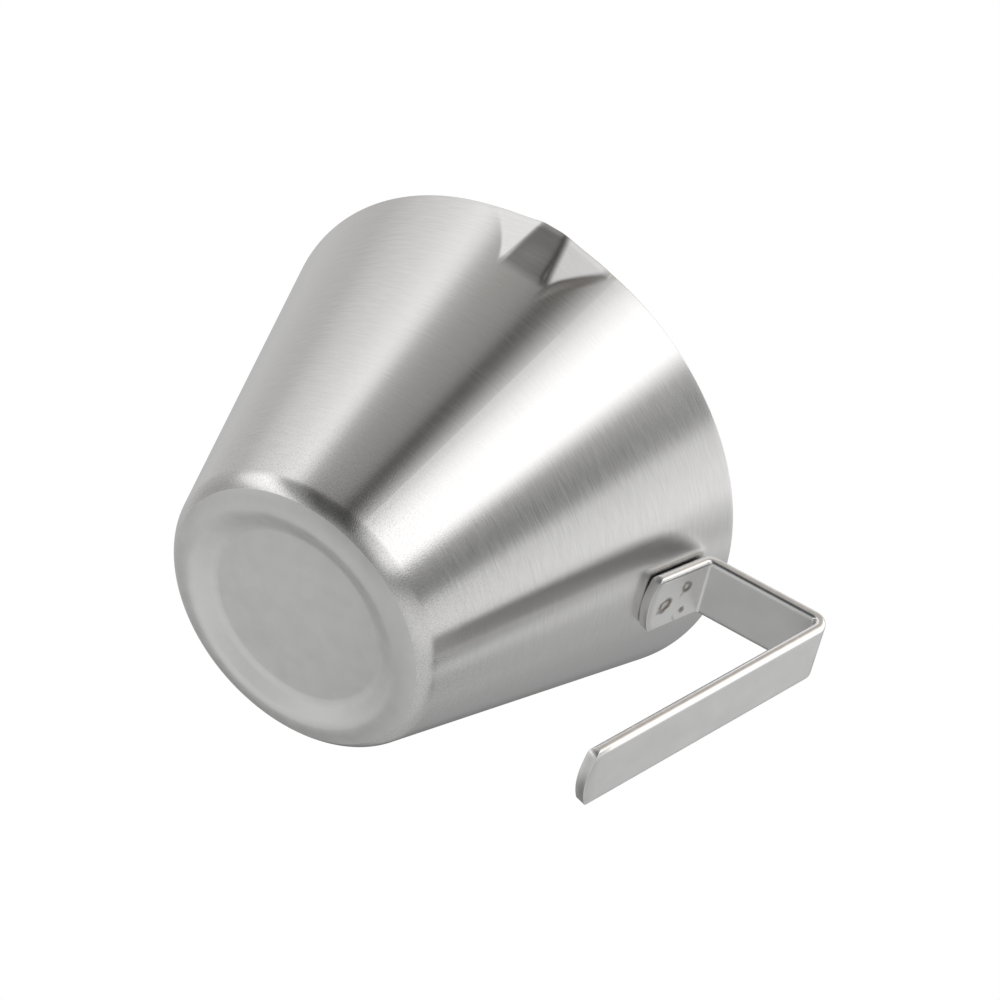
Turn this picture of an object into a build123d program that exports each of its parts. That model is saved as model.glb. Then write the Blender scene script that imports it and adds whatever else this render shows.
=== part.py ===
from build123d import *
import math
import os

# Small pouring cup drawn from one disc of stainless sheet, with a three-sided spout pressed
# into its rim and a handle folded from one flat strip that is spot welded to the wall.
# The cup stands upright: the origin is the middle of the ring that it stands on, +Z runs up
# the cup's axis to its mouth, and +X points to the spout.

# Cup, outside sizes
rim_diameter = 76.0
cup_height = 50.0
base_diameter = 40.4
sheet_thickness = 0.7
base_corner_radius = 4.7

# Recess in the underside, which leaves a narrow ring to stand on
foot_ring_flat = 0.2
recess_step_width = 2.6
recess_depth = 1.7
recess_bend_radius = 1.6

# Spout, measured at the level of the rim, and the dip of its trimmed lip
spout_drop = 7.4
spout_root_width = 6.8
spout_tip_width = 3.4
spout_mouth_width = 19.0
spout_reach = 1.4
spout_lip_dip = 0.5
spout_ridge_radius = 1.2

# Handle strip, folded into a tab, a shoulder and a grip
strip_width = 10.0
strip_thickness = 1.6
strip_edge_radius = 0.7
strip_corner_radius = 0.8
strip_end_bulge = 1.2
handle_turn = 87.6
shoulder_height = 44.8
shoulder_length = 16.7
shoulder_rise = 2.0
shoulder_bend_radius = 0.5
tab_length = 9.8
grip_length = 43.2
grip_lean = 14.6
grip_bend_radius = 0.7

# Spot welds, seen as shallow dimples on the tab
weld_diameter = 1.9
weld_depth = 0.12
weld_spacing = 4.5
weld_pair_drop = 3.3
weld_lone_drop = 6.7
weld_shift = 0.4

# Values worked out from the sizes above
rim_radius = rim_diameter / 2
base_radius = base_diameter / 2
wall_slope = (rim_radius - base_radius) / cup_height
wall_angle = math.atan(wall_slope)
recess_angle = math.atan(recess_depth / recess_step_width)
recess_bend_reach = recess_bend_radius * math.tan(recess_angle / 2)
base_corner_reach = base_corner_radius * math.tan((math.pi / 2 - wall_angle) / 2)
foot_ring_radius = base_radius - base_corner_reach - foot_ring_flat - recess_bend_reach
recess_radius = foot_ring_radius - recess_step_width
strip_rounding = min(strip_edge_radius, 0.45 * strip_thickness)
weld_ball_radius = ((weld_diameter / 2) ** 2 + weld_depth**2) / (2 * weld_depth)
up = Vector(0, 0, 1)


def wall_radius(height):
    """Outside radius of the cup's cone at a height above the ground."""
    return base_radius + wall_slope * height


def chord_distance(radius, width):
    """Distance from the axis to a chord of this width in a circle of this radius."""
    return math.sqrt(radius**2 - (width / 2) ** 2)


# Spout form: a wedge that starts at the root line on the cone, leans out to the tip, and is
# cut back on each side by a plane through the root, the tip and the end of the mouth
root_height = cup_height - spout_drop
root_distance = chord_distance(wall_radius(root_height), spout_root_width)
mouth_distance = chord_distance(rim_radius, spout_mouth_width)
tip_distance = rim_radius + spout_reach

with BuildPart() as spout_form:
    with BuildSketch(Plane.XZ):
        Polygon(
            (root_distance, root_height),
            (tip_distance, cup_height),
            (mouth_distance - spout_drop, cup_height),
            align=None,
        )
    extrude(amount=spout_mouth_width / 2, both=True)
    for side in (-1, 1):
        root_corner = Vector(root_distance, side * spout_root_width / 2, root_height)
        tip_corner = Vector(tip_distance, side * spout_tip_width / 2, cup_height)
        mouth_corner = Vector(mouth_distance, side * spout_mouth_width / 2, cup_height)
        outward = (tip_corner - root_corner).cross(mouth_corner - root_corner) * side
        split(bisect_by=Plane(root_corner, z_dir=outward), keep=Keep.TOP)

# Cup: the outside form is turned, the spout is added, and the whole is hollowed to the
# thickness of the sheet with its mouth left open
with BuildPart() as cup:
    with BuildSketch(Plane.XZ):
        with BuildLine():
            FilletPolyline(
                (0, recess_depth),
                (recess_radius, recess_depth),
                (foot_ring_radius, 0),
                (base_radius, 0),
                (rim_radius, cup_height),
                radius=[recess_bend_radius, recess_bend_radius, base_corner_radius],
            )
            Polyline((rim_radius, cup_height), (0, cup_height), (0, recess_depth))
        make_face()
    revolve(axis=Axis.Z)
    add(spout_form.part)
    ridges = cup.edges().filter_by(GeomType.LINE).filter_by_position(
        Axis.Z, root_height, cup_height, inclusive=(False, False)
    )
    fillet(ridges, radius=spout_ridge_radius)
    mouth = cup.faces().sort_by(Axis.Z)[-1]
    offset(amount=-sheet_thickness, openings=mouth)
    # The lip of the spout is lower than the rim at its tip
    with BuildSketch(Plane.YZ.offset(mouth_distance - spout_drop)):
        Polygon(
            (-spout_mouth_width / 2, cup_height),
            (-spout_tip_width / 2, cup_height - spout_lip_dip),
            (spout_tip_width / 2, cup_height - spout_lip_dip),
            (spout_mouth_width / 2, cup_height),
            align=None,
        )
    extrude(amount=2 * spout_drop, mode=Mode.SUBTRACT)

# Planes of the handle: radial cuts the cup through the handle, tab_plane lies on the outer
# face of the tab with its origin at the fold and its Y direction up the wall
radial = Vector(1, 0, 0).rotate(Axis.Z, handle_turn)
sideways = up.cross(radial)
wall_up = radial * math.sin(wall_angle) + up * math.cos(wall_angle)
wall_out = radial * math.cos(wall_angle) - up * math.sin(wall_angle)
wall_point = radial * wall_radius(shoulder_height) + up * shoulder_height
fold_point = wall_point + wall_out * strip_thickness
tab_plane = Plane(fold_point, x_dir=sideways, z_dir=wall_out)
radial_plane = Plane(Vector(0, 0, 0), x_dir=radial, z_dir=radial.cross(up))

rise = math.radians(shoulder_rise)
lean = math.radians(grip_lean)
shoulder_along = radial * math.cos(rise) + up * math.sin(rise)
grip_down = radial * -math.sin(lean) - up * math.cos(lean)
grip_out = radial * math.cos(lean) - up * math.sin(lean)
outer_fold = fold_point + shoulder_along * shoulder_length
grip_plane = Plane(outer_fold, x_dir=sideways, z_dir=grip_out)

# Handle: the strip's folded section is drawn along its inner faces, thickened towards the
# wall and given its width. Its long edges are rounded all the way, and both ends are then
# sheared to a shallow arc with rounded corners
end_zone = 2 * (strip_end_bulge + strip_corner_radius)
with BuildPart() as handle:
    with BuildSketch(radial_plane):
        with BuildLine():
            inner_line = [
                radial_plane.to_local_coords(point)
                for point in (
                    fold_point - wall_up * tab_length,
                    fold_point,
                    outer_fold,
                    outer_fold + grip_down * grip_length,
                )
            ]
            FilletPolyline(*inner_line, radius=[shoulder_bend_radius, grip_bend_radius])
            offset(amount=strip_thickness, side=Side.LEFT)
        make_face()
    extrude(amount=strip_width / 2, both=True)
    long_edges = handle.edges()
    for direction in (sideways, wall_out, grip_out):
        long_edges = long_edges.filter_by(Axis((0, 0, 0), direction), reverse=True)
    fillet(long_edges, radius=strip_rounding)
    for plane, length in ((tab_plane, tab_length), (grip_plane, grip_length)):
        with BuildSketch(plane):
            with Locations((0, -length)):
                Rectangle(2 * strip_width, 2 * end_zone)
            with BuildLine():
                end_arc = ThreePointArc(
                    (-strip_width / 2, strip_end_bulge - length),
                    (0, -length),
                    (strip_width / 2, strip_end_bulge - length),
                )
                Polyline(
                    end_arc @ 1,
                    (strip_width / 2, end_zone - length),
                    (-strip_width / 2, end_zone - length),
                    end_arc @ 0,
                )
            make_face(mode=Mode.SUBTRACT)
            fillet(vertices().group_by(Axis.Y)[1], radius=strip_corner_radius)
        extrude(amount=2 * strip_thickness, both=True, mode=Mode.SUBTRACT)
    # A pair of spot welds near the fold and a third one below them
    with Locations(tab_plane.offset(weld_ball_radius - weld_depth)):
        with Locations(
            (weld_shift - weld_spacing / 2, -weld_pair_drop),
            (weld_shift + weld_spacing / 2, -weld_pair_drop),
            (weld_shift, -weld_lone_drop),
        ):
            Sphere(weld_ball_radius, mode=Mode.SUBTRACT)

cup.part.label = "cup"
handle.part.label = "handle"
os.makedirs("parts", exist_ok=True)
export_step(cup.part, "parts/cup.step")
export_step(handle.part, "parts/handle.step")
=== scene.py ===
import bpy
import bmesh
import math
from mathutils import Matrix, Quaternion, Vector


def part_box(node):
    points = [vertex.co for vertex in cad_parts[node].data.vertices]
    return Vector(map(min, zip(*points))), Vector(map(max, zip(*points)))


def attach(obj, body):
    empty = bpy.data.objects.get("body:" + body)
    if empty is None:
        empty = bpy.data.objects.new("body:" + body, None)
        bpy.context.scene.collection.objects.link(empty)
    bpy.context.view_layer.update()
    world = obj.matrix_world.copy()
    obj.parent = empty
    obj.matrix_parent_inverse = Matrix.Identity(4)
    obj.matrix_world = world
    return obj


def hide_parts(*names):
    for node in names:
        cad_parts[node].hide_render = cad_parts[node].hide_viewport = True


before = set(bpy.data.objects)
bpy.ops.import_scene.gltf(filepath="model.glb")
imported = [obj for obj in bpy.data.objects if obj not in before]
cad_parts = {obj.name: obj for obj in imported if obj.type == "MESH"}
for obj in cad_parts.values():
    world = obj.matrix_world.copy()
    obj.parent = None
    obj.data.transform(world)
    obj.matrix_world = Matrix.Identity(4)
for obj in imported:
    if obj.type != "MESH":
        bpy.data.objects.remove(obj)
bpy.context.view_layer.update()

# The cup: one disc of stainless sheet drawn to a cone, with a recess pressed into its
# underside and a three-sided spout pressed out of its rim. The wall is brushed round and
# round, and the underside is left matt.
cup_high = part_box("cup")[1]
rim_radius = cup_high.y
cup_height = cup_high.z
base_radius = 0.0202
base_corner_radius = 0.0047
sheet = 0.0007
rim_edge_radius = 0.0002
rim_band = 0.0009

# The recess. Its two bends are drawn a little softer than the bend that its ring and its
# floor are set out with.
foot_ring_flat = 0.0002
recess_step_width = 0.0026
recess_depth = 0.0017
recess_bend_radius = 0.0016
inner_bend_radius = 0.0026
foot_bend_radius = 0.0022

# The spout. On the handle's side its ridge is softer, and its crease keeps only a share of
# the sag that the cone would give it, because the wall beside it is drawn in.
spout_drop = 0.0074
spout_root_width = 0.0068
spout_tip_width = 0.0034
spout_mouth_width = 0.0190
spout_reach = 0.0014
spout_lip_dip = 0.0005
spout_crisp_ridge = 0.00018
spout_soft_ridge = 0.00034
spout_root_softness = 0.00016
spout_crease_softness = 0.00005
spout_worn_softness = 0.00006
spout_crease_sag = 0.4
spout_fade = 0.0042
spout_bulge_height = 0.0045
spout_draw_run = 0.2
spout_root_run = 0.25

# Rows and steps of the mesh, and how close two measures are to count as the same
recess_bend_segments = 8
base_corner_segments = 16
rim_edge_segments = 3
spout_rows = 66
wall_rows = 12
floor_rings = 8
spout_sector = math.radians(32)
spout_steps = 140
wall_steps = 160
tolerance = 1e-6

wall_slope = (rim_radius - base_radius) / cup_height
wall_angle = math.atan(wall_slope)
corner_bend = math.pi / 2 - wall_angle
base_corner_reach = base_corner_radius * math.tan(corner_bend / 2)
recess_bend = math.atan(recess_depth / recess_step_width)
recess_bend_reach = recess_bend_radius * math.tan(recess_bend / 2)
foot_ring_radius = base_radius - base_corner_reach - foot_ring_flat - recess_bend_reach
recess_radius = foot_ring_radius - recess_step_width
spout_root_height = cup_height - spout_drop
spout_zone_low = spout_root_height - spout_fade


def wall_radius(height):
    """Outside radius of the cone at a height."""
    return base_radius + wall_slope * height


def chord_distance(radius, width):
    """Distance from the axis to a chord of this width."""
    return math.sqrt(radius**2 - (width / 2) ** 2)


def smoothstep(value):
    """Rises smoothly from 0 to 1 as the value does."""
    value = min(max(value, 0.0), 1.0)
    return value * value * (3 - 2 * value)


def soft_max(first, second, softness):
    """The larger of two values, with the corner between them rounded off."""
    near = max(softness - abs(first - second), 0.0) / softness
    return max(first, second) + near * near * softness / 4


root_distance = chord_distance(wall_radius(spout_root_height), spout_root_width)
mouth_distance = chord_distance(rim_radius, spout_mouth_width)
root_corner = Vector((root_distance, spout_root_width / 2, spout_root_height))
tip_corner = Vector((rim_radius + spout_reach, spout_tip_width / 2, cup_height))
mouth_corner = Vector((mouth_distance, spout_mouth_width / 2, cup_height))
front_normal = Vector((spout_drop, 0, root_distance - tip_corner.x)).normalized()
side_normal = (tip_corner - root_corner).cross(mouth_corner - root_corner).normalized()
side_normal *= math.copysign(1, side_normal.x)
root_azimuth = math.atan2(root_corner.y, root_corner.x)
tip_azimuth = math.atan2(tip_corner.y, tip_corner.x)
mouth_azimuth = math.atan2(mouth_corner.y, mouth_corner.x)


def side_radius(normal, azimuth, height):
    """Radius of one of the spout's flat sides at an azimuth and a height."""
    outward = Vector((math.cos(azimuth), math.sin(abs(azimuth)), 0))
    return (root_corner - Vector((0, 0, height))).dot(normal) / outward.dot(normal)


def facet_radius(azimuth, height):
    """Radius of the spout's three flat sides together, with rounded ridges between them."""
    front = side_radius(front_normal, azimuth, height)
    side = side_radius(side_normal, azimuth, height)
    return -soft_max(-front, -side, spout_soft_ridge if azimuth > 0 else spout_crisp_ridge)


def front_bulge(azimuth, height):
    """How far the spout's middle side stands out near its root, to meet the round wall."""
    lift = (height - spout_root_height) / spout_drop
    ridge_point = root_corner.lerp(tip_corner, lift)
    share = min(abs(azimuth) / math.atan2(ridge_point.y, ridge_point.x), 1.0)
    chord_gap = wall_radius(spout_root_height) - root_distance
    return chord_gap * (1 - share**2) * smoothstep(1 - lift * spout_drop / spout_bulge_height)


def side_crease(azimuth):
    """The crease beside the spout: its height, how far the wall is drawn in along it, and
    the share of the way from the root to the end of the mouth."""
    share = (abs(azimuth) - root_azimuth) / (mouth_azimuth - root_azimuth)
    if share <= 0:
        return spout_root_height, 0.0, 0.0
    root_wall = wall_radius(spout_root_height)
    low_gap = root_wall - side_radius(side_normal, azimuth, spout_root_height)
    high_gap = side_radius(side_normal, azimuth, cup_height) - rim_radius
    sag = spout_crease_sag if azimuth > 0 else 1.0
    lift = share + (low_gap / (low_gap + high_gap) - share) * sag
    crease = spout_root_height + spout_drop * lift
    draw = wall_radius(crease) - side_radius(side_normal, azimuth, crease)
    return crease, draw * smoothstep(share / spout_draw_run), share


def cup_radius(azimuth, height):
    """Outside radius of the cup across the mouth of its spout."""
    crease, draw, share = side_crease(azimuth)
    fade = spout_fade * (1 - share / 2)
    wall = wall_radius(height) - draw * smoothstep(1 - (crease - height) / fade)
    spout = facet_radius(azimuth, height) + front_bulge(azimuth, height)
    side_softness = spout_worn_softness
    if azimuth > 0:
        more_worn = spout_worn_softness - spout_crease_softness
        side_softness = spout_crease_softness + more_worn * share**2
    change = (side_softness - spout_root_softness) * smoothstep(share / spout_root_run)
    return soft_max(wall, spout, spout_root_softness + change)


cup_mesh = bmesh.new()
section_points = (
    (0, recess_depth),
    (recess_radius, recess_depth),
    (foot_ring_radius, 0),
    (base_radius, 0),
    (rim_radius, cup_height),
)
section = [cup_mesh.verts.new((x, 0, z)) for x, z in section_points]
for start, end in zip(section, section[1:]):
    cup_mesh.edges.new((start, end))
for corner, radius, bend, segments in (
    (section[1], inner_bend_radius, recess_bend, recess_bend_segments),
    (section[2], foot_bend_radius, recess_bend, recess_bend_segments),
    (section[3], base_corner_radius, corner_bend, base_corner_segments),
):
    bmesh.ops.bevel(
        cup_mesh, geom=[corner], offset=radius * math.tan(bend / 2), offset_type="OFFSET",
        affect="VERTICES", segments=segments, profile=0.5, material=-1,
    )

# The wall's line is cut under the spout and under the rim, and divided closely between
top = max(cup_mesh.verts, key=lambda vert: vert.co.z)
for depth in (spout_drop + spout_fade, rim_band):
    wall_edge = top.link_edges[0]
    wall_height = top.co.z - wall_edge.other_vert(top).co.z
    bmesh.utils.edge_split(wall_edge, top, depth / wall_height)


def lowest(edge):
    """Height of an edge's lower end."""
    return min(vert.co.z for vert in edge.verts)


def highest(edge):
    """Height of an edge's upper end."""
    return max(vert.co.z for vert in edge.verts)


zone_limit = spout_zone_low - tolerance
upper = [
    edge for edge in cup_mesh.edges if lowest(edge) > zone_limit and top not in edge.verts
]
lower = [edge for edge in cup_mesh.edges if lowest(edge) < zone_limit < highest(edge)]
bmesh.ops.subdivide_edges(cup_mesh, edges=upper, cuts=spout_rows)
bmesh.ops.subdivide_edges(cup_mesh, edges=lower, cuts=wall_rows)
floor_edges = [
    edge for edge in cup_mesh.edges
    if edge.calc_length() > recess_radius / 2 and highest(edge) < recess_depth + tolerance
]
bmesh.ops.subdivide_edges(cup_mesh, edges=floor_edges, cuts=floor_rings)

# The section is spun round in close steps across the spout and wider ones elsewhere
bmesh.ops.rotate(
    cup_mesh, verts=cup_mesh.verts, cent=(0, 0, 0),
    matrix=Matrix.Rotation(-spout_sector / 2, 3, "Z"),
)
swept = bmesh.ops.spin(
    cup_mesh, geom=cup_mesh.edges[:], cent=(0, 0, 0), axis=(0, 0, 1),
    angle=spout_sector, steps=spout_steps, use_duplicate=False,
)
last_edges = [item for item in swept["geom_last"] if isinstance(item, bmesh.types.BMEdge)]
bmesh.ops.spin(
    cup_mesh, geom=last_edges, cent=(0, 0, 0), axis=(0, 0, 1),
    angle=2 * math.pi - spout_sector, steps=wall_steps, use_duplicate=False,
)
bmesh.ops.remove_doubles(cup_mesh, verts=cup_mesh.verts, dist=tolerance)

# The spout is pressed out of the wall across its mouth, and its lip dips towards the tip
for vert in cup_mesh.verts:
    azimuth = math.atan2(vert.co.y, vert.co.x)
    if vert.co.z < spout_zone_low or abs(azimuth) > mouth_azimuth:
        continue
    tip_share = (mouth_azimuth - abs(azimuth)) / (mouth_azimuth - tip_azimuth)
    lift = (vert.co.z - spout_zone_low) / (cup_height - spout_zone_low)
    height = vert.co.z - spout_lip_dip * smoothstep(tip_share) * lift
    radius = cup_radius(azimuth, height)
    vert.co = Vector((math.cos(azimuth) * radius, math.sin(azimuth) * radius, height))

bmesh.ops.recalc_face_normals(cup_mesh, faces=cup_mesh.faces)
bmesh.ops.solidify(cup_mesh, geom=cup_mesh.faces[:], thickness=sheet)

# The rim is cut level with the outside of the wall, and its two edges are rounded
rim_upward = 0.75
rim_faces = [
    face for face in cup_mesh.faces
    if face.normal.z > rim_upward and face.calc_center_median().z > spout_root_height
]
rim_edges = []
for face in rim_faces:
    for edge in face.edges:
        inner, outer = sorted(edge.verts, key=lambda vert: vert.co.xy.length)
        if outer.co.xy.length - inner.co.xy.length < sheet / 2:
            rim_edges.append(edge)
            continue
        neighbours = [link.other_vert(inner) for link in inner.link_edges]
        below = min(neighbours, key=lambda vert: vert.co.z)
        slope = (inner.co - below.co).normalized()
        inner.co -= slope * (inner.co.z - outer.co.z) / slope.z
cup_mesh.normal_update()
bmesh.ops.bevel(
    cup_mesh, geom=rim_edges, offset=rim_edge_radius, offset_type="OFFSET",
    affect="EDGES", segments=rim_edge_segments, profile=0.5, material=-1,
)

# Matt metal covers the underside, part way round the lower corner, and the floor inside
matt_angle = math.radians(35)
matt_radius = base_radius - base_corner_reach + base_corner_radius * math.sin(matt_angle)
floor_height = recess_depth + 2 * sheet
underside_downward = -0.2
floor_upward = 0.8
for face in cup_mesh.faces:
    face.smooth = True
    centre = face.calc_center_median()
    underside = face.normal.z < underside_downward and centre.xy.length < matt_radius
    inside_floor = face.normal.z > floor_upward and centre.z < floor_height
    face.material_index = 1 if underside or inside_floor else 0


def new_steel(name):
    """A bare steel with its surface shader and the piece's own coordinates."""
    material = bpy.data.materials.new(name)
    material.use_nodes = True
    nodes = material.node_tree.nodes
    shader = nodes["Principled BSDF"]
    shader.inputs["Metallic"].default_value = 1.0
    coordinates = nodes.new("ShaderNodeTexCoord")
    return material, nodes, material.node_tree.links, shader, coordinates.outputs["Object"]


def noise(nodes, links, place, scale, stretch=(1, 1, 1), detail=2.0):
    """A noise pattern, stretched along the three directions."""
    mapping = nodes.new("ShaderNodeMapping")
    mapping.inputs["Scale"].default_value = stretch
    texture = nodes.new("ShaderNodeTexNoise")
    texture.inputs["Scale"].default_value = scale
    texture.inputs["Detail"].default_value = detail
    links.new(place, mapping.inputs["Vector"])
    links.new(mapping.outputs["Vector"], texture.inputs["Vector"])
    return texture.outputs["Fac"]


def grey(light):
    """A shade without a tint."""
    return (light, light, light)


def ramp(nodes, links, value, stops):
    """Turns a value into colours or shades by its stops, each a place and a colour."""
    node = nodes.new("ShaderNodeValToRGB")
    elements = node.color_ramp.elements
    while len(elements) < len(stops):
        elements.new(0.5)
    for element, (place, colour) in zip(elements, stops):
        element.position = place
        element.color = (*colour, 1)
    links.new(value, node.inputs["Fac"])
    return node.outputs["Color"]


def between(nodes, links, pattern, low, high):
    """Takes a noise pattern from one colour to another over the values it mostly has."""
    return ramp(nodes, links, pattern, ((0.3, low), (0.7, high)))


def finish(nodes, links, shader, pattern, colours, roughness):
    """Gives a steel its colour and its roughness, each between two along a pattern."""
    links.new(between(nodes, links, pattern, *colours), shader.inputs["Base Color"])
    low, high = roughness
    rough = between(nodes, links, pattern, grey(low), grey(high))
    links.new(rough, shader.inputs["Roughness"])


def multiply(nodes, links, first, second):
    """Lays one pattern of colours over another."""
    mix = nodes.new("ShaderNodeMix")
    mix.data_type = "RGBA"
    mix.blend_type = "MULTIPLY"
    mix.inputs["Factor"].default_value = 1.0
    links.new(first, mix.inputs["A"])
    links.new(second, mix.inputs["B"])
    return mix.outputs["Result"]


def bump(nodes, links, shader, height, distance):
    """Raises a pattern from the surface by a distance."""
    node = nodes.new("ShaderNodeBump")
    node.inputs["Distance"].default_value = distance
    links.new(height, node.inputs["Height"])
    links.new(node.outputs["Normal"], shader.inputs["Normal"])


def height_share(nodes, links, place, full_height):
    """Height of a point as a share of a full height."""
    split = nodes.new("ShaderNodeSeparateXYZ")
    share = nodes.new("ShaderNodeMath")
    share.operation = "DIVIDE"
    share.inputs[1].default_value = full_height
    links.new(place, split.inputs["Vector"])
    links.new(split.outputs["Z"], share.inputs[0])
    return share.outputs["Value"]


def scaled_about_half(nodes, links, value, strength):
    """A pattern's swing to both sides of a half, made larger or smaller."""
    swing = nodes.new("ShaderNodeMath")
    swing.operation = "SUBTRACT"
    swing.inputs[1].default_value = 0.5
    node = nodes.new("ShaderNodeMath")
    node.operation = "MULTIPLY_ADD"
    node.inputs[2].default_value = 0.5
    links.new(value, swing.inputs[0])
    links.new(swing.outputs["Value"], node.inputs[0])
    links.new(strength, node.inputs[1])
    return node.outputs["Value"]


# The brushed wall: fine lines round the cup, which give way to sand-like specks low down
brushed, nodes, links, shader, place = new_steel("cup_brushed_steel")
shader.inputs["Anisotropic"].default_value = 0.9
shader.inputs["Anisotropic Rotation"].default_value = 0.25
height = height_share(nodes, links, place, cup_height)
hairlines = noise(nodes, links, place, 1.0, (320, 320, 9000), detail=3.0)
hair_strength = ramp(nodes, links, height, ((0.06, grey(0.1)), (0.14, grey(1.0))))
hairlines = scaled_about_half(nodes, links, hairlines, hair_strength)
specks = noise(nodes, links, place, 5200.0)
speck_strength = ramp(nodes, links, height, (
    (0.04, grey(1.0)), (0.16, grey(0.6)), (0.35, grey(0.18)), (1.0, grey(0.05)),
))
specks = scaled_about_half(nodes, links, specks, speck_strength)
hair_colour = between(nodes, links, hairlines, (0.58, 0.575, 0.57), (0.64, 0.635, 0.63))
speck_shade = ramp(nodes, links, specks, (
    (0.3, grey(0.84)), (0.5, grey(1.0)), (0.7, grey(1.08)),
))
grain = multiply(nodes, links, hair_colour, speck_shade)
links.new(grain, shader.inputs["Base Color"])
hair_roughness = between(nodes, links, hairlines, grey(0.21), grey(0.24))
links.new(hair_roughness, shader.inputs["Roughness"])
bump(nodes, links, shader, specks, 0.00001)

# The underside: the skin of the drawn sheet, clouded and faintly frosted
matt, nodes, links, shader, place = new_steel("underside_matt_steel")
cloud = noise(nodes, links, place, 400.0, detail=4.0)
frost = noise(nodes, links, place, 6000.0)
finish(
    nodes, links, shader, cloud,
    colours=((0.60, 0.60, 0.595), (0.64, 0.64, 0.635)), roughness=(0.54, 0.58),
)
bump(nodes, links, shader, frost, 0.000004)


def add_object(name, data):
    """Puts an object into the scene."""
    item = bpy.data.objects.new(name, data)
    bpy.context.scene.collection.objects.link(item)
    return item


def add_mesh(name, mesh, *materials):
    """Makes an object of a finished mesh and its materials."""
    data = bpy.data.meshes.new(name)
    mesh.to_mesh(data)
    mesh.free()
    for material in materials:
        data.materials.append(material)
    return add_object(name, data)


cup = add_mesh("cup_shell", cup_mesh, brushed, matt)
cup.modifiers.new("even shading", "WEIGHTED_NORMAL")
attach(cup, "root")
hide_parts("cup")

# The handle: one flat steel strip with rounded edges, folded to a tab, a shoulder and a
# grip. The tab is spot welded to the wall near the rim, and both ends are cut to an arc.
strip_width = 0.010
strip_thickness = 0.0016
strip_edge_radius = 0.0007
strip_corner_radius = 0.0008
strip_end_bulge = 0.0012
handle_turn = math.radians(87.6)
shoulder_height = 0.0448
shoulder_length = 0.0167
shoulder_rise = math.radians(2.0)
shoulder_bend_radius = 0.0005
burr_radius = 0.00008
tab_length = 0.0098
grip_length = 0.0432
grip_lean = math.radians(14.6)
grip_bend_radius = 0.0007

# Columns and steps of the strip's mesh. They are close enough for the weld marks, and the
# outermost column and the last step leave room for the rounded edges and corners.
edge_column = 0.0011
column_step = 0.0002
bend_steps = 10
grip_steps = 16
strip_edge_segments = 6
burr_segments = 2

up = Vector((0, 0, 1))
radial = Vector((math.cos(handle_turn), math.sin(handle_turn), 0))
sideways = up.cross(radial)
wall_up = radial * math.sin(wall_angle) + up * math.cos(wall_angle)
wall_out = radial * math.cos(wall_angle) - up * math.sin(wall_angle)
shoulder_along = radial * math.cos(shoulder_rise) + up * math.sin(shoulder_rise)
shoulder_under = radial * math.sin(shoulder_rise) - up * math.cos(shoulder_rise)
grip_down = radial * -math.sin(grip_lean) - up * math.cos(grip_lean)
shoulder_bend = wall_up.angle(shoulder_along)
grip_bend = shoulder_along.angle(grip_down)
shoulder_reach = shoulder_bend_radius * math.tan(shoulder_bend / 2)
grip_reach = grip_bend_radius * math.tan(grip_bend / 2)
wall_point = radial * wall_radius(shoulder_height) + up * shoulder_height
fold_point = wall_point + wall_out * strip_thickness
outer_fold = fold_point + shoulder_along * shoulder_length


def draw_out(mesh, row, move):
    """Draws a row of edges out to new faces and gives the new row."""
    drawn = bmesh.ops.extrude_edge_only(mesh, edges=row)["geom"]
    verts = [item for item in drawn if isinstance(item, bmesh.types.BMVert)]
    bmesh.ops.translate(mesh, verts=verts, vec=move)
    return [
        item for item in drawn
        if isinstance(item, bmesh.types.BMEdge) and all(vert in verts for vert in item.verts)
    ]


def fold(mesh, row, centre, angle):
    """Folds a row of edges round a bend and gives the row at its end."""
    swept = bmesh.ops.spin(
        mesh, geom=row, cent=centre, axis=sideways, angle=angle, steps=bend_steps,
        use_duplicate=False,
    )
    return [item for item in swept["geom_last"] if isinstance(item, bmesh.types.BMEdge)]


# The strip's inner faces are drawn out from a row of edges at the start of the tab: down
# the wall first, and then round the folds to the end of the grip
strip = bmesh.new()
columns = round((strip_width - 2 * edge_column) / column_step)
tab_start = fold_point - wall_up * shoulder_reach
across = [-strip_width / 2]
across += [-strip_width / 2 + edge_column + column_step * index for index in range(columns + 1)]
across += [strip_width / 2]
corners = [strip.verts.new(tab_start + sideways * offset) for offset in across]
first_row = [strip.edges.new(pair) for pair in zip(corners, corners[1:])]
tab_flat = tab_length - shoulder_reach
tab_steps = round((tab_flat - edge_column) / column_step)
row = first_row
for _ in range(tab_steps):
    row = draw_out(strip, row, -wall_up * (tab_flat - edge_column) / tab_steps)
draw_out(strip, row, -wall_up * edge_column)
row = fold(strip, first_row, tab_start + wall_out * shoulder_bend_radius, shoulder_bend)
row = draw_out(strip, row, shoulder_along * (shoulder_length - shoulder_reach - grip_reach))
bend_centre = outer_fold - shoulder_along * grip_reach + shoulder_under * grip_bend_radius
row = fold(strip, row, bend_centre, grip_bend)
grip_flat = grip_length - grip_reach
for _ in range(grip_steps):
    row = draw_out(strip, row, grip_down * (grip_flat - 2 * edge_column) / grip_steps)
draw_out(strip, row, grip_down * 2 * edge_column)

bmesh.ops.recalc_face_normals(strip, faces=strip.faces)
tab_middle = tab_start - wall_up * tab_flat / 2
tab_face = min(strip.faces, key=lambda face: (face.calc_center_median() - tab_middle).length)
if tab_face.normal.dot(wall_out) < 0:
    bmesh.ops.reverse_faces(strip, faces=strip.faces)
bmesh.ops.solidify(strip, geom=strip.faces[:], thickness=strip_thickness)
strip.normal_update()

ends = (
    (tab_start, -wall_up, tab_flat),
    (outer_fold + grip_down * grip_reach, grip_down, grip_flat),
)
square_on = 0.99


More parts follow.
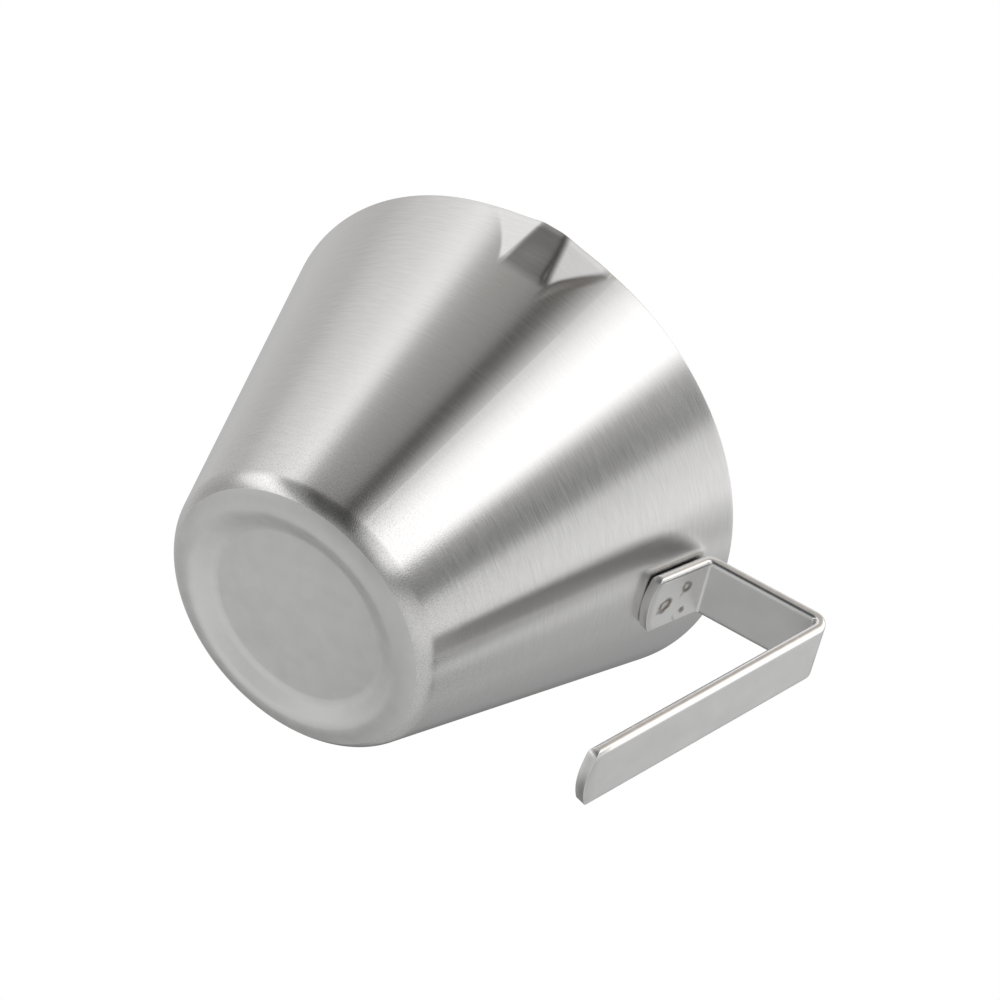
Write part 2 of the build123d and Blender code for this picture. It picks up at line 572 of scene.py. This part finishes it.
def end_faces():
    """The faces where the strip is cut off, while they are still square to it."""
    return [
        face for face in strip.faces for start, along, length in ends
        if face.normal.dot(along) > square_on
        and (face.calc_center_median() - start).dot(along) > length - tolerance
    ]


# The strip's long edges are rounded all the way, and the cut faces are divided again
sharp_bend = math.radians(60)
cut_faces = set(end_faces())
long_edges = [
    edge for edge in strip.edges
    if edge.calc_face_angle(0) > sharp_bend and cut_faces.isdisjoint(edge.link_faces)
]
rounded = set(bmesh.ops.bevel(
    strip, geom=long_edges, offset=strip_edge_radius, offset_type="OFFSET",
    affect="EDGES", segments=strip_edge_segments, profile=0.5, material=-1,
)["faces"])
for face in end_faces():
    if len(face.verts) > 4:
        pairs = sorted(face.verts, key=lambda vert: vert.co.dot(sideways))
        for pair in zip(pairs[2:-2:2], pairs[3:-2:2]):
            bmesh.ops.connect_vert_pair(strip, verts=pair)
cut_faces = set(end_faces())

# Both ends are sheared to a shallow arc with rounded corners, and the burr is taken off
bulge_radius = ((strip_width / 2) ** 2 + strip_end_bulge**2) / (2 * strip_end_bulge)
for vert in strip.verts:
    for start, along, length in ends:
        place = vert.co - start
        distance = place.dot(along)
        side = abs(place.dot(sideways))
        depth = abs(place.dot(along.cross(sideways)))
        if distance < tolerance or depth > strip_thickness + tolerance:
            continue
        short = bulge_radius - math.sqrt(bulge_radius**2 - side**2)
        corner = max(side - strip_width / 2 + strip_corner_radius, 0.0)
        short += strip_corner_radius - math.sqrt(max(strip_corner_radius**2 - corner**2, 0.0))
        vert.co -= along * short * distance / length
strip.normal_update()
cut_rims = [
    edge for edge in strip.edges if sum(face in cut_faces for face in edge.link_faces) == 1
]
bmesh.ops.bevel(
    strip, geom=cut_rims, offset=burr_radius, offset_type="OFFSET",
    affect="EDGES", segments=burr_segments, profile=0.5, material=-1,
)
strip.normal_update()

# The spot welds: shallow dents in the tab, each with a low ridge round it. A mark is its
# place across the tab and along it, half its length, half its width and its turn.
weld_marks = (
    (0.0003, -0.0068, 0.00125, 0.00085, math.radians(-37)),
    (-0.0018, -0.0034, 0.0010, 0.0008, math.radians(20)),
    (0.0027, -0.0033, 0.00065, 0.0005, 0.0),
)
dent_depth = 0.0001
dent_side = 0.5
ridge_spread = 0.35
ridge_height = 0.25
face_reach = 1e-5
for vert in strip.verts:
    place = vert.co - fold_point
    if abs(place.dot(wall_out)) > face_reach or place.dot(wall_up) > -shoulder_reach:
        continue
    spot = Vector((place.dot(sideways), place.dot(wall_up)))
    for across, along, half_length, half_width, turn in weld_marks:
        offset = (spot - Vector((across, along))) @ Matrix.Rotation(turn, 2)
        reach = math.hypot(offset.x / half_length, offset.y / half_width)
        dent = smoothstep((1 - reach) / dent_side)
        ridge = smoothstep(1 - abs(reach - 1) / ridge_spread)
        vert.co += wall_out * (ridge_height * ridge - dent) * dent_depth

side_on = 0.9
for face in strip.faces:
    face.smooth = True
    if face in cut_faces:
        face.material_index = 2
    else:
        edge_face = face in rounded or abs(face.normal.dot(sideways)) > side_on
        face.material_index = 1 if edge_face else 0

# The heat of the welds has stained the tab, and the stains wander from a clean oval
stain_depth = 0.002
stain_wander = 0.0010


def weld_stain(nodes, links, place, steel, mark, stops):
    """Lays the tints of a weld's heat over the steel's colour, from its middle outwards."""
    across, along, half_length, half_width, turn = mark
    tab = Matrix((sideways, wall_up, wall_out)).transposed() @ Matrix.Rotation(turn, 3, "Z")
    mapping = nodes.new("ShaderNodeMapping")
    mapping.vector_type = "TEXTURE"
    mapping.inputs["Location"].default_value = fold_point + sideways * across + wall_up * along
    mapping.inputs["Rotation"].default_value = tab.to_euler()
    mapping.inputs["Scale"].default_value = (2 * half_length, 2 * half_width, stain_depth)
    links.new(place, mapping.inputs["Vector"])
    distance = nodes.new("ShaderNodeVectorMath")
    distance.operation = "LENGTH"
    links.new(mapping.outputs["Vector"], distance.inputs[0])
    return multiply(nodes, links, steel, ramp(nodes, links, distance.outputs["Value"], stops))


# The strip's two flat faces are satin, with the stains of the welds on the tab
handle_steel, nodes, links, shader, place = new_steel("handle_satin_steel")
cloud = noise(nodes, links, place, 260.0, detail=3.0)
fine = noise(nodes, links, place, 3000.0)
wobble = nodes.new("ShaderNodeTexNoise")
wobble.inputs["Scale"].default_value = 1100.0
wobble.inputs["Detail"].default_value = 3.0
links.new(place, wobble.inputs["Vector"])
centred = nodes.new("ShaderNodeVectorMath")
centred.operation = "SUBTRACT"
centred.inputs[1].default_value = grey(0.5)
links.new(wobble.outputs["Color"], centred.inputs[0])
shift = nodes.new("ShaderNodeVectorMath")
shift.operation = "MULTIPLY_ADD"
shift.inputs[1].default_value = (stain_wander, stain_wander, stain_wander)
links.new(centred.outputs["Vector"], shift.inputs[0])
links.new(place, shift.inputs[2])
burnt_ring = (
    (0.0, (0.92, 0.90, 0.88)), (0.22, (0.76, 0.73, 0.70)), (0.38, (0.33, 0.30, 0.27)),
    (0.52, (0.42, 0.39, 0.36)), (0.70, grey(1.0)),
)
bright_spot = (
    (0.0, grey(1.0)), (0.18, (0.88, 0.86, 0.84)), (0.36, (0.36, 0.33, 0.30)),
    (0.64, grey(1.0)),
)
dark_spot = ((0.0, (0.34, 0.30, 0.28)), (0.35, (0.50, 0.46, 0.43)), (0.60, grey(1.0)))
light_smear = ((0.0, (0.62, 0.58, 0.55)), (0.55, grey(1.0)))
smears = (
    (0.0037, -0.0045, 0.0009, 0.0003, math.radians(25)),
    (-0.0006, -0.0039, 0.0008, 0.00035, math.radians(-50)),
)
stains = list(zip(weld_marks, (burnt_ring, bright_spot, dark_spot)))
stains += [(smear, light_smear) for smear in smears]
steel = between(nodes, links, cloud, (0.69, 0.685, 0.68), (0.73, 0.725, 0.72))
for mark, stops in stains:
    steel = weld_stain(nodes, links, shift.outputs["Vector"], steel, mark, stops)
links.new(steel, shader.inputs["Base Color"])
satin_roughness = between(nodes, links, cloud, grey(0.32), grey(0.38))
links.new(satin_roughness, shader.inputs["Roughness"])
bump(nodes, links, shader, fine, 0.000001)

# The rounded edges are smoother and brighter, and the sheared ends darker and torn
smooth_edge, nodes, links, shader, place = new_steel("handle_smooth_edge")
polish = noise(nodes, links, place, 700.0, detail=3.0)
finish(
    nodes, links, shader, polish,
    colours=((0.70, 0.695, 0.69), (0.76, 0.755, 0.75)), roughness=(0.19, 0.26),
)
sheared, nodes, links, shader, place = new_steel("handle_sheared_end")
shear_lines = noise(nodes, links, place, 1.0, (9000, 1200, 2600), detail=3.0)
finish(
    nodes, links, shader, shear_lines,
    colours=((0.46, 0.45, 0.44), (0.62, 0.61, 0.60)), roughness=(0.36, 0.46),
)
bump(nodes, links, shader, shear_lines, 0.00002)

handle = add_mesh("handle_strip", strip, handle_steel, smooth_edge, sheared)
handle.modifiers.new("even shading", "WEIGHTED_NORMAL")
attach(handle, "root")
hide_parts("handle")

# The floor: a pale painted board that the cup stands on. It is seen only from above, and
# from below it is clear and gives no light or shadow, so that the cup's underside shows.
floor_size = 3.0
floor_mesh = bmesh.new()
bmesh.ops.create_grid(floor_mesh, x_segments=1, y_segments=1, size=floor_size / 2)
floor_paint = bpy.data.materials.new("floor_paint")
floor_paint.use_nodes = True
nodes, links = floor_paint.node_tree.nodes, floor_paint.node_tree.links
nodes.clear()
geometry = nodes.new("ShaderNodeNewGeometry")
diffuse = nodes.new("ShaderNodeBsdfDiffuse")
diffuse.inputs["Color"].default_value = (0.95, 0.95, 0.95, 1)
glow = nodes.new("ShaderNodeEmission")
glow.inputs["Strength"].default_value = 0.3
pale = nodes.new("ShaderNodeAddShader")
clear = nodes.new("ShaderNodeBsdfTransparent")
mix = nodes.new("ShaderNodeMixShader")
output = nodes.new("ShaderNodeOutputMaterial")
links.new(geometry.outputs["Backfacing"], mix.inputs["Fac"])
links.new(diffuse.outputs["BSDF"], pale.inputs[0])
links.new(glow.outputs["Emission"], pale.inputs[1])
links.new(pale.outputs["Shader"], mix.inputs[1])
links.new(clear.outputs["BSDF"], mix.inputs[2])
links.new(mix.outputs["Shader"], output.inputs["Surface"])
floor = add_mesh("floor", floor_mesh, floor_paint)
floor.visible_shadow = False
floor.visible_diffuse = False
floor.visible_glossy = False
floor.visible_transmission = False

# The studio: light and dark stretches all the way round, which the brushed wall and the
# lower corner reflect as streaks. They are given level by level from the ground up, each
# as azimuth in degrees, brightness and warmth.
ground = (
    (-155, 0.66, 0.0), (-60, 0.68, 0.0), (-10, 0.44, 0.0), (24, 0.20, 0.0),
    (56, 0.44, 0.0), (95, 0.70, 0.0), (160, 0.66, 0.0),
)
lower_corner_light = (
    (-170, 0.58, 0.0), (-130, 0.66, 0.0), (-112, 0.50, 0.0), (-95, 0.50, 0.0),
    (-87, 0.62, 0.0), (-80, 1.10, 0.0), (-64, 1.60, 0.0), (-57, 1.10, 0.0),
    (-52, 0.36, 0.0), (-42, 0.34, 0.0), (-35, 0.16, 0.0), (-29, 0.05, 0.0),
    (-20, 0.12, 0.0), (-8, 0.07, 0.0), (1, 0.07, 0.0), (7, 0.20, 0.0),
    (14, 0.44, 0.0), (24, 0.60, 0.0), (36, 0.86, 0.0), (44, 0.76, 0.0),
    (51, 0.44, 0.0), (58, 0.44, 0.0), (68, 0.66, 0.0), (80, 0.84, 0.0),
    (96, 0.86, 0.0), (112, 0.80, 0.0), (140, 0.74, 0.0), (170, 0.66, 0.0),
)
low_wall_light = (
    (-174, 0.36, 0.0), (-165, 0.14, 0.0), (-150, 0.16, 0.0), (-141, 0.52, 0.0),
    (-130, 0.66, 0.0), (-112, 0.50, 0.02), (-95, 0.50, 0.02), (-87, 0.66, 0.0),
    (-80, 1.35, 0.0), (-64, 1.75, 0.0), (-57, 1.20, 0.0), (-52, 0.36, 0.0),
    (-42, 0.36, 0.0), (-35, 0.16, 0.0), (-29, 0.05, 0.0), (-20, 0.12, 0.0),
    (-8, 0.07, 0.0), (1, 0.07, 0.0), (7, 0.30, 0.0), (14, 0.74, 0.0),
    (24, 1.05, 0.0), (36, 1.36, 0.0), (44, 1.20, 0.0), (51, 0.42, 0.0),
    (58, 0.36, 0.0), (68, 0.64, 0.0), (80, 0.86, 0.0), (96, 0.98, 0.0),
    (112, 0.80, 0.0), (140, 0.74, 0.0), (160, 0.66, 0.0), (176, 0.56, 0.0),
)
middle_wall_light = (
    (-158, 0.24, 0.0), (-145, 0.52, 0.0), (-124, 0.70, 0.0), (-105, 0.60, 0.03),
    (-86, 0.66, 0.03), (-76, 0.86, 0.01), (-60, 1.06, 0.0), (-47, 1.50, 0.0),
    (-41, 1.28, 0.0), (-35, 0.70, 0.01), (-27, 0.57, 0.02), (-14, 0.46, 0.01),
    (-9, 0.36, 0.0), (-5, 0.04, 0.0), (0, 0.16, 0.0), (5, 0.62, 0.0),
    (14, 1.60, 0.0), (24, 2.10, 0.0), (42, 2.10, 0.0), (47, 1.00, 0.0),
    (51, 0.34, 0.0), (62, 0.01, 0.0), (68, 0.04, 0.0), (75, 0.72, 0.0),
    (88, 0.90, 0.0), (98, 0.90, 0.0), (103, 0.50, 0.0), (113, 0.10, 0.0),
    (120, 0.66, 0.0), (128, 0.34, 0.0), (142, 0.56, 0.0), (180, 0.42, 0.0),
)
high_wall_light = (
    (-150, 0.55, 0.0), (-122, 0.76, 0.0), (-89, 0.70, 0.02), (-60, 1.00, 0.0),
    (-46, 1.20, 0.0), (-37, 0.80, 0.03), (-28, 0.50, 0.06), (-10, 0.50, 0.08),
    (6, 0.70, 0.08), (20, 1.30, 0.05), (60, 1.60, 0.0), (104, 1.60, 0.0),
    (120, 1.10, 0.0), (139, 0.62, 0.0), (155, 0.48, 0.0), (172, 0.40, 0.0),
    (184, 0.20, 0.0), (205, 0.15, 0.0),
)
# The two heights in degrees between which a level takes over from the one below it
studio_levels = (
    ((-64, -54), lower_corner_light),
    ((-48, -38), low_wall_light),
    ((-7, -1), middle_wall_light),
    ((13, 20), high_wall_light),
)
world = bpy.data.worlds.new("studio")
bpy.context.scene.world = world
world.use_nodes = True
nodes, links = world.node_tree.nodes, world.node_tree.links
nodes.clear()
coordinates = nodes.new("ShaderNodeTexCoord")
gradient = nodes.new("ShaderNodeTexGradient")
gradient.gradient_type = "RADIAL"
links.new(coordinates.outputs["Generated"], gradient.inputs["Vector"])
split = nodes.new("ShaderNodeSeparateXYZ")
links.new(coordinates.outputs["Generated"], split.inputs["Vector"])


def light_round(lights):
    """The brightness all the way round one level of the studio."""
    stops = sorted(
        ((azimuth / 360 + 0.5) % 1.0, (light * (1 + warmth), light, light * (1 - warmth)))
        for azimuth, light, warmth in lights
    )
    return ramp(nodes, links, gradient.outputs["Fac"], stops)


light = light_round(ground)
for (start, end), lights in studio_levels:
    rise = nodes.new("ShaderNodeMapRange")
    rise.interpolation_type = "SMOOTHSTEP"
    rise.inputs["From Min"].default_value = math.sin(math.radians(start))
    rise.inputs["From Max"].default_value = math.sin(math.radians(end))
    links.new(split.outputs["Z"], rise.inputs["Value"])
    blend = nodes.new("ShaderNodeMix")
    blend.data_type = "RGBA"
    links.new(rise.outputs["Result"], blend.inputs["Factor"])
    links.new(light, blend.inputs["A"])
    links.new(light_round(lights), blend.inputs["B"])
    light = blend.outputs["Result"]

# The camera sees plain white behind the cup, and the steel reflects the studio
studio = nodes.new("ShaderNodeBackground")
links.new(light, studio.inputs["Color"])
white = nodes.new("ShaderNodeBackground")
white.inputs["Color"].default_value = (1, 1, 1, 1)
path = nodes.new("ShaderNodeLightPath")
mix = nodes.new("ShaderNodeMixShader")
output = nodes.new("ShaderNodeOutputWorld")
links.new(path.outputs["Is Camera Ray"], mix.inputs["Fac"])
links.new(studio.outputs["Background"], mix.inputs[1])
links.new(white.outputs["Background"], mix.inputs[2])
links.new(mix.outputs["Shader"], output.inputs["Surface"])

# A small soft panel lies close under the side of the cup that is away from the spout and
# the handle, and faces up to the matt underside
panel_light = bpy.data.lights.new("underside_panel", "AREA")
panel_light.shape = "SQUARE"
panel_light.size = 0.050
panel_light.energy = 0.0024
panel = add_object("underside_panel", panel_light)
panel.location = (-0.018, -0.018, -0.026)
panel.rotation_euler = (math.pi, 0, 0)
panel.visible_camera = False

# The camera looks up at the cup from below and to one side, turned over to the left. Its
# place and turn were fitted to the outlines in the photo.
camera_target = Vector((-0.002576, 0.005874, 0.042123))
camera_distance = 0.41983
camera_azimuth = math.radians(23.674)
camera_elevation = math.radians(-42.281)
camera_roll = math.radians(48.272)
camera_data = bpy.data.cameras.new("camera")
camera_data.lens = 108
camera_data.sensor_width = 36
camera_data.clip_start = 0.01
camera = add_object("camera", camera_data)
backward = Vector((
    math.cos(camera_elevation) * math.cos(camera_azimuth),
    math.cos(camera_elevation) * math.sin(camera_azimuth),
    math.sin(camera_elevation),
))
camera.location = camera_target + backward * camera_distance
camera.rotation_mode = "QUATERNION"
turned = backward.to_track_quat("Z", "Y") @ Quaternion((0, 0, 1), camera_roll)
camera.rotation_quaternion = turned
bpy.context.scene.camera = camera
bpy.context.scene.view_settings.view_transform = "Standard"
